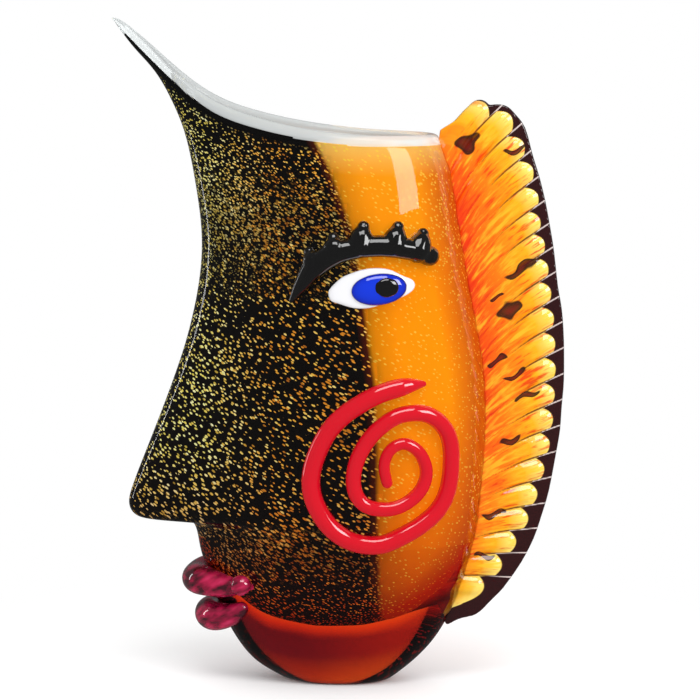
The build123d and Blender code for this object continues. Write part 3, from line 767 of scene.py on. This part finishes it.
# painted glow: the lip emits a pale light of its own, standing in for light gathered all through it, so it
# reads as pale glass
plainGlass("paleLipGlass", [], "e2e6e6", Roughness=0.02, IOR=1.45, Transmission_Weight=0.62,
           Emission_Color=linear("e2e6e6"), Emission_Strength=0.16)
clearGlass.data.materials.append(bpy.data.materials["paleLipGlass"])
for polygon in clearGlass.data.polygons:
    centre = polygon.center / mm
    polygon.material_index = int(centre.z > mouthHeight(centre.x) - blownBody["lipHeight"])
# black trail glass of the brows, with sharp reflections
plainGlass("blackTrailGlass", [browLeft, browRight], "050505", Roughness=0.04, Coat_Weight=1.0,
           Coat_Roughness=0.02, Coat_IOR=1.7)
# red rod glass of the spirals, wet looking
plainGlass("redRodGlass", [spiralLeft, spiralRight], "cf0a20", Roughness=0.08, Coat_Weight=1.0,
           Coat_Roughness=0.02, Coat_IOR=1.7)
# white opal glass, dense and glossy
plainGlass("whiteOpalGlass", eyePieces["white"], "ebebee", Roughness=0.12, Coat_Weight=1.0,
           Coat_Roughness=0.02)
# black drop glass of the pupils, mirror smooth
plainGlass("blackDropGlass", eyePieces["pupil"], "030304", Roughness=0.03, Coat_Weight=1.0,
           Coat_Roughness=0.01, Coat_IOR=1.8)

# cobalt drop, darker at its rim: painted shade that deepens the blue where the dome turns away from the
# view
tree = newMaterial("cobaltGlass", eyePieces["iris"])
facing = node(tree, "LayerWeight", Blend=0.5)
blue = node(tree, "ValToRGB", {"Fac": facing.outputs["Facing"]},
            [(0.0, "0a34d0"), (0.25, "0626b8"), (0.55, "03124c")])
shader = node(tree, "BsdfPrincipled", {"Base Color": blue}, Roughness=0.04, Coat_Weight=1.0,
              Coat_Roughness=0.01, Coat_IOR=1.7)
node(tree, "OutputMaterial", {"Surface": shader})

# raspberry glass of the lips: dark folds and pinker swirls about 5 mm wide
tree = newMaterial("raspberryGlass", [upperLip, lowerLip])
place = node(tree, "TexCoord").outputs["Object"]
stretched = node(tree, "Mapping", {"Vector": place}, vector_type="TEXTURE", Rotation=(0, -0.5, 0),
                 Scale=(2.2, 2.2, 0.8))
swirl = node(tree, "TexNoise", {"Vector": stretched}, Scale=150, Detail=2)
tone = node(tree, "ValToRGB", {"Fac": swirl}, [(0.35, "3c0414"), (0.48, "8c0c34"), (0.6, "b51a48"),
                                               (0.75, "c8305f")])
shader = node(tree, "BsdfPrincipled", {"Base Color": tone}, Roughness=0.06, Coat_Weight=1.0,
              Coat_Roughness=0.02, Coat_IOR=1.8)
node(tree, "OutputMaterial", {"Surface": shader})

# red-amber gather: clear over the bubble, bright under it, then a dark red core and an orange foot; the
# bright band and the glow of the foot are painted light passing through the thick base, and the right side
# is made lighter
tree = newMaterial("redAmberGlass", [amberGather])
above = node(tree, "Attribute", attribute_name="aboveUnderside").outputs["Fac"]
depth = node(tree, "MapRange", {"Value": above}, From_Min=-50, From_Max=30)
# painted light: the bright band under the bubble and the glowing orange foot in these ramps
leftTone = node(tree, "ValToRGB", {"Fac": depth}, [(0.0, "d04010"), (0.14, "a8240c"), (0.27, "6c0a12"),
                                                   (0.44, "6a0810"), (0.52, "d0240a"), (0.61, "f0480c"),
                                                   (0.66, "f2a070"), (0.8, "faf0ea")])
rightTone = node(tree, "ValToRGB", {"Fac": depth}, [(0.0, "f06a14"), (0.14, "e04c0c"), (0.3, "a8180c"),
                                                    (0.44, "a8180c"), (0.52, "e8380a"), (0.61, "f8500c"),
                                                    (0.66, "f2a070"), (0.8, "faf0ea")])
place = node(tree, "TexCoord").outputs["Object"]
split = node(tree, "SeparateXYZ", {"Vector": place})
toRight = node(tree, "MapRange", {"Value": split.outputs["X"]}, interpolation_type="SMOOTHSTEP",
               From_Min=-0.03, From_Max=0.06)
tone = node(tree, "Mix", {"Factor": toRight, 6: leftTone, 7: rightTone}, data_type="RGBA")
shader = node(tree, "BsdfPrincipled", {"Base Color": tone.outputs[2]}, Roughness=0.0, IOR=1.02,
              Transmission_Weight=1.0)
node(tree, "OutputMaterial", {"Surface": shader})


# gold leaf crackled on black glass in front and on amber behind
def leafGlass(name, piece):
    tree = newMaterial(name, [piece])
    place = node(tree, "TexCoord").outputs["Object"]
    split = node(tree, "SeparateXYZ", {"Vector": place})
    beyond, below, beforeBack = [node(tree, "Attribute", attribute_name=field).outputs["Fac"]
                                 for field in ("beyondEdge", "belowRim", "beforeBack")]
    height = node(tree, "MapRange", {"Value": split.outputs["Z"]}, From_Max=0.45)
    across = node(tree, "MapRange", {"Value": split.outputs["X"]}, From_Min=-0.15, From_Max=0.1)
    # flecks about 2.5 mm long and 1 mm wide, leaning down to the right
    leaned = node(tree, "Mapping", {"Vector": place}, vector_type="TEXTURE", Rotation=(0, 0.5, 0),
                  Scale=(2.6, 1.4, 1.05))
    wobble = node(tree, "TexNoise", {"Vector": leaned}, Scale=300, Detail=2)
    offset = node(tree, "VectorMath", {0: wobble.outputs["Color"]}, operation="SCALE", Scale=0.001)
    shifted = node(tree, "VectorMath", {0: leaned, 1: offset}, operation="ADD")
    cells = node(tree, "TexVoronoi", {"Vector": shifted}, Scale=520, Randomness=1.0)
    patches = node(tree, "TexNoise", {"Vector": place}, Scale=18, Detail=3)
    limit = node(tree, "MapRange", {"Value": patches}, From_Min=0.35, From_Max=0.65, To_Min=0.27,
                 To_Max=0.38)
    inside = node(tree, "Math", {0: limit, 1: cells.outputs["Distance"]}, operation="SUBTRACT")
    fleck = node(tree, "MapRange", {"Value": inside}, From_Min=0.0, From_Max=0.03)
    # finer leaf high up and low down
    fineCells = node(tree, "TexVoronoi", {"Vector": shifted}, Scale=760, Randomness=1.0)
    fineInside = node(tree, "Math", {0: limit, 1: fineCells.outputs["Distance"]}, operation="SUBTRACT")
    fineFleck = node(tree, "MapRange", {"Value": fineInside}, From_Min=-0.01, From_Max=0.03)
    fineness = node(tree, "ValToRGB", {"Fac": height}, [(0.16, 1.0), (0.26, 0.0), (0.58, 0.0), (0.78, 1.0)])
    fleck = node(tree, "Mix", {"Factor": fineness, "A": fleck, "B": fineFleck})
    # colours of the leaf: pale along the face, golden across the cheek, red low down
    leafColours = [[(0.0, "a8882a"), (0.3, "f0d860"), (0.6, "fcf090"), (1.0, "fffcd0")],
                   [(0.0, "a85a18"), (0.35, "f09a2c"), (0.65, "ffc850"), (1.0, "ffe890")],
                   [(0.0, "8a2410"), (0.4, "e85a18"), (0.75, "ff8420"), (1.0, "ffb040")]]
    paleLeaf, goldLeaf, redLeaf = [node(tree, "ValToRGB", {"Fac": cells.outputs["Color"]}, stops)
                                   for stops in leafColours]
    golden = node(tree, "ValToRGB", {"Fac": across}, [(0.25, 0.0), (0.45, 1.0)])
    lowDown = node(tree, "ValToRGB", {"Fac": height}, [(0.13, 1.0), (0.36, 0.0)])
    leafTone = node(tree, "Mix", {"Factor": golden, 6: paleLeaf, 7: goldLeaf}, data_type="RGBA")
    leafTone = node(tree, "Mix", {"Factor": lowDown, 6: leafTone.outputs[2], 7: redLeaf}, data_type="RGBA")
    # the ground: black, red-brown at its edge, then amber that deepens downward and toward the back
    black = node(tree, "ValToRGB", {"Fac": height}, [(0.1, "1c0606"), (0.25, "0c0706"), (0.9, "060606")])
    amber = node(tree, "ValToRGB", {"Fac": height}, [(0.1, "c03806"), (0.17, "e45e04"), (0.28, "ff8a04"),
                                                     (0.45, "ffa004"), (0.66, "ff9c02"), (0.8, "f4a014")])
    shade = node(tree, "MapRange", {"Value": beyond}, From_Min=0, From_Max=20, To_Min=0.72, To_Max=1.0)
    deepened = node(tree, "VectorMath", {0: amber, "Scale": shade}, operation="SCALE")
    backward = node(tree, "MapRange", {"Value": beforeBack}, From_Min=2, From_Max=20, To_Min=0.85,
                    To_Max=0.0)
    amberBack = node(tree, "Mix", {"Factor": backward, 6: deepened}, values={7: linear("c8480a")},
                     data_type="RGBA")
    rim = node(tree, "MapRange", {"Value": below}, From_Min=4, From_Max=26, To_Min=0.75, To_Max=0.0)
    amberRim = node(tree, "Mix", {"Factor": rim, 6: amberBack.outputs[2]}, values={7: linear("f0cc70")},
                    data_type="RGBA")
    border = node(tree, "MapRange", {"Value": beyond}, From_Min=-60, From_Max=20)
    browned = node(tree, "ValToRGB", {"Fac": border}, [(0.66, 0.0), (0.73, 1.0)])
    blackSide = node(tree, "Mix", {"Factor": browned, 6: black}, values={7: linear("4a1606")},
                     data_type="RGBA")
    turned = node(tree, "MapRange", {"Value": beyond}, interpolation_type="SMOOTHSTEP", From_Min=-2.5,
                  From_Max=1.5)
    ground = node(tree, "Mix", {"Factor": turned, 6: blackSide.outputs[2], 7: amberRim.outputs[2]},
                  data_type="RGBA")
    # no leaf just under the rim, and only thin pale squiggles on the amber
    bare = node(tree, "MapRange", {"Value": below}, From_Min=11, From_Max=15)
    frontLeaf = node(tree, "Math", {0: fleck.outputs[0], 1: bare}, operation="MULTIPLY")
    thin = node(tree, "MapRange", {"Value": inside}, From_Min=0.05, From_Max=0.13, To_Max=0.75)
    coverage = node(tree, "Mix", {"Factor": turned, "A": frontLeaf, "B": thin})
    leafTone = node(tree, "Mix", {"Factor": turned, 6: leafTone.outputs[2]}, values={7: linear("f8d048")},
                    data_type="RGBA")
    tone = node(tree, "Mix", {"Factor": coverage.outputs[0], 6: ground.outputs[2], 7: leafTone.outputs[2]},
                data_type="RGBA")
    # painted glow: the wall emits its own colour, standing in for light that passes through it from behind
    # and brightens it
    shader = node(tree, "BsdfPrincipled", {"Base Color": tone.outputs[2],
                                           "Emission Color": tone.outputs[2]}, Roughness=0.7,
                  Specular_IOR_Level=0.0, Emission_Strength=0.42)
    node(tree, "OutputMaterial", {"Surface": shader})


leafGlass("blackGlassWithLeaf", leafFront)
leafGlass("amberGlassWithLeaf", leafBack)

# streaky amber glass of the comb: red at the root, yellow toward the rib ends with a painted highlight on
# their rounded tips, and painted shade along the outer edge
tree = newMaterial("streakyAmberGlass", [hairComb])
along, groove, number, shadePatchGap = [node(tree, "Attribute", attribute_name=field).outputs["Fac"]
                                  for field in ("ribAlong", "grooveGap", "ribNumber", "shadePatchDistance")]
inward = node(tree, "MapRange", {"Value": along}, From_Min=-10, From_Max=90)
# the pale stops at the rib ends are partly the glass's own yellow and partly a painted highlight on the
# rounded tips
base = node(tree, "ValToRGB", {"Fac": inward}, [(0.0, "ffe880"), (0.09, "ffd860"), (0.17, "ffb014"),
                                                (0.32, "ff8a06"), (0.5, "fa6a04"), (0.7, "ee3c02"),
                                                (0.9, "da2c04")])
alongScaled = node(tree, "Math", {0: along}, values={1: 0.018}, operation="MULTIPLY")
grooveScaled = node(tree, "Math", {0: groove}, values={1: 0.14}, operation="MULTIPLY")
numberScaled = node(tree, "Math", {0: number}, values={1: 3.7}, operation="MULTIPLY")
streakPlace = node(tree, "CombineXYZ", {"X": alongScaled, "Y": grooveScaled, "Z": numberScaled})
streaks = node(tree, "TexNoise", {"Vector": streakPlace}, Scale=2.6, Detail=3, Roughness=0.6)
palePart = node(tree, "ValToRGB", {"Fac": streaks}, [(0.52, 0.0), (0.66, 0.75)])
redPart = node(tree, "ValToRGB", {"Fac": streaks}, [(0.34, 0.85), (0.46, 0.0)])
paleTone = node(tree, "Mix", {"Factor": palePart, 6: base}, values={7: linear("ffc428")}, data_type="RGBA")
redTone = node(tree, "Mix", {"Factor": redPart, 6: paleTone.outputs[2]}, values={7: linear("e83000")},
               data_type="RGBA")
# painted shade: thin dark lines in the grooves between the rib ends
grooveShade = node(tree, "MapRange", {"Value": groove}, From_Min=0.35, From_Max=0.8, To_Min=1.0, To_Max=0.0)
grooveShadeFade = node(tree, "ValToRGB", {"Fac": inward}, [(0.16, 0.9), (0.34, 0.0)])
grooveShadePart = node(tree, "Math", {0: grooveShade, 1: grooveShadeFade}, operation="MULTIPLY")
grooveShaded = node(tree, "Mix", {"Factor": grooveShadePart, 6: redTone.outputs[2]}, values={7: linear("5a1204")},
              data_type="RGBA")
# painted shade: dark patches standing in for dark surroundings seen through the glass
shadePatchPart = node(tree, "MapRange", {"Value": shadePatchGap}, From_Min=0.85, From_Max=1.15, To_Min=0.95, To_Max=0.0)
shadePatchTone = node(tree, "ValToRGB", {"Fac": shadePatchGap}, [(0.0, "6a120c"), (0.45, "3a0a08"), (0.85, "160404")])
shadePatched = node(tree, "Mix", {"Factor": shadePatchPart, 6: grooveShaded.outputs[2], 7: shadePatchTone}, data_type="RGBA")
# the strip beyond the rib ends: painted shade in dark maroon where the glass is seen edge on, with a
# painted pale light line where two ribs meet
strip = node(tree, "MapRange", {"Value": along}, From_Min=-6.6, From_Max=-5.8, To_Min=1.0, To_Max=0.0)
stripGlintPart = node(tree, "MapRange", {"Value": groove}, From_Min=0.3, From_Max=0.6, To_Min=1.0, To_Max=0.0)
stripShadeAndGlint = node(tree, "Mix", {"Factor": stripGlintPart},
                   values={6: linear("2c0a0c"), 7: linear("d8c8c4")}, data_type="RGBA")
tone = node(tree, "Mix", {"Factor": strip, 6: shadePatched.outputs[2], 7: stripShadeAndGlint.outputs[2]},
            data_type="RGBA")
shader = node(tree, "BsdfPrincipled", {"Base Color": tone.outputs[2]}, Roughness=0.1, Coat_Weight=1.0,
              Coat_Roughness=0.03, Coat_IOR=1.6)
node(tree, "OutputMaterial", {"Surface": shader})

print("floor, lights and camera")
deselectAll()
bpy.ops.mesh.primitive_plane_add(size=12)  # metres, past all that the camera sees
floor = bpy.context.object
floor.name = "floor"
# white paper that turns into plain white light away from the vase, so no horizon shows
tree = newMaterial("palePaper", [floor])
place = node(tree, "TexCoord").outputs["Object"]
reach = node(tree, "VectorMath", {0: place}, operation="LENGTH").outputs["Value"]
away = node(tree, "MapRange", {"Value": reach}, interpolation_type="SMOOTHSTEP", From_Min=0.08,
            From_Max=0.36)
paper = node(tree, "BsdfDiffuse", Color=linear("ffffff"))
glow = node(tree, "Emission", Color=(1, 1, 1, 1), Strength=1.0)
blend = node(tree, "MixShader", {0: away, 1: paper, 2: glow})
path = node(tree, "LightPath")
faint = node(tree, "Emission", Color=(1, 1, 1, 1), Strength=0.1)
blend = node(tree, "MixShader", {0: path.outputs["Is Glossy Ray"], 1: blend, 2: faint})
node(tree, "OutputMaterial", {"Surface": blend})
world = bpy.data.worlds.new("studio")
bpy.context.scene.world = world
world.use_nodes = True
tree = world.node_tree
tree.nodes.clear()
path = node(tree, "LightPath")
seen = node(tree, "Math", {0: path.outputs["Is Camera Ray"], 1: path.outputs["Is Transmission Ray"]},
            operation="MAXIMUM")
shine = node(tree, "MapRange", {"Value": path.outputs["Is Glossy Ray"]}, To_Min=1.0, To_Max=0.1)
dim = node(tree, "Background", {"Strength": shine}, Color=(1, 1, 1, 1))
white = node(tree, "Background", Color=(1, 1, 1, 1), Strength=1.0)
mixed = node(tree, "MixShader", {0: seen, 1: dim, 2: white})
node(tree, "OutputWorld", {"Surface": mixed})


# places, targets and sizes in metres, power in watts
def softBox(name, place, target, width, height, power):
    deselectAll()
    bpy.ops.object.light_add(type="AREA", location=place)
    light = bpy.context.object
    light.name = name
    light.data.shape = "RECTANGLE"
    light.data.size, light.data.size_y = width, height
    light.data.energy = power
    light.rotation_euler = (Vector(target) - Vector(place)).to_track_quat("-Z", "Y").to_euler()


softBox("rightSoftBox", (1.5, -0.9, 1.0), (0.03, 0, 0.25), 0.8, 0.8, 11)
softBox("topSoftBox", (0.2, -0.9, 1.7), (0.0, 0, 0.25), 1.2, 0.7, 9)
softBox("leftStrip", (-1.5, 0.3, 0.35), (-0.05, 0, 0.2), 0.12, 0.8, 1.2)

# places and sensor in mm, focal length in pixels, angles in degrees, clip end in metres
camera = {"azimuth": 6.0, "distance": 1800, "height": 450, "pitch": 7.08, "focal": 2685, "aimX": 8,
          "pixels": 700, "sensor": 36, "clipEnd": 20}
turn = math.radians(camera["azimuth"])
deselectAll()
bpy.ops.object.camera_add()
view = bpy.context.object
view.name = "camera"
view.location = ((camera["aimX"] + math.sin(turn) * camera["distance"]) * mm,
                 -math.cos(turn) * camera["distance"] * mm, camera["height"] * mm)
view.rotation_euler = (math.radians(90 - camera["pitch"]), 0, turn)
view.data.sensor_width = camera["sensor"]
view.data.lens = camera["focal"] / camera["pixels"] * camera["sensor"]
view.data.clip_end = camera["clipEnd"]
bpy.context.scene.camera = view
bpy.context.scene.view_settings.view_transform = "Standard"
